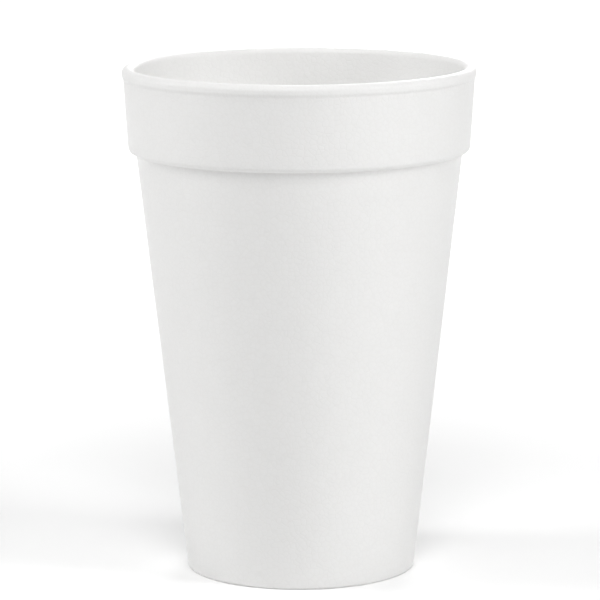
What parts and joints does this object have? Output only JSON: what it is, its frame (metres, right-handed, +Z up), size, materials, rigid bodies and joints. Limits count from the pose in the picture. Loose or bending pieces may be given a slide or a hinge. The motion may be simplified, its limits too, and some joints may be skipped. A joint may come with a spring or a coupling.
{
  "type": "foam cup",
  "caption": "Disposable moulded foam cup with a thin tapered wall, a thickened collar with a stacking ledge, a rounded lid rim and a recessed foot.",
  "frame": {"origin": "centre of the foot ring, on the surface that the cup stands on", "axes": "+Z up the cup's axis to the rim; the cup is the same all round, and -Y is taken as its front"},
  "size_m": [0.094, 0.094, 0.135],
  "materials": {
    "foam": "matte"
  },
  "bodies": {
    "root": {"foam_cup": "foam"}
  },
  "joints": []
}
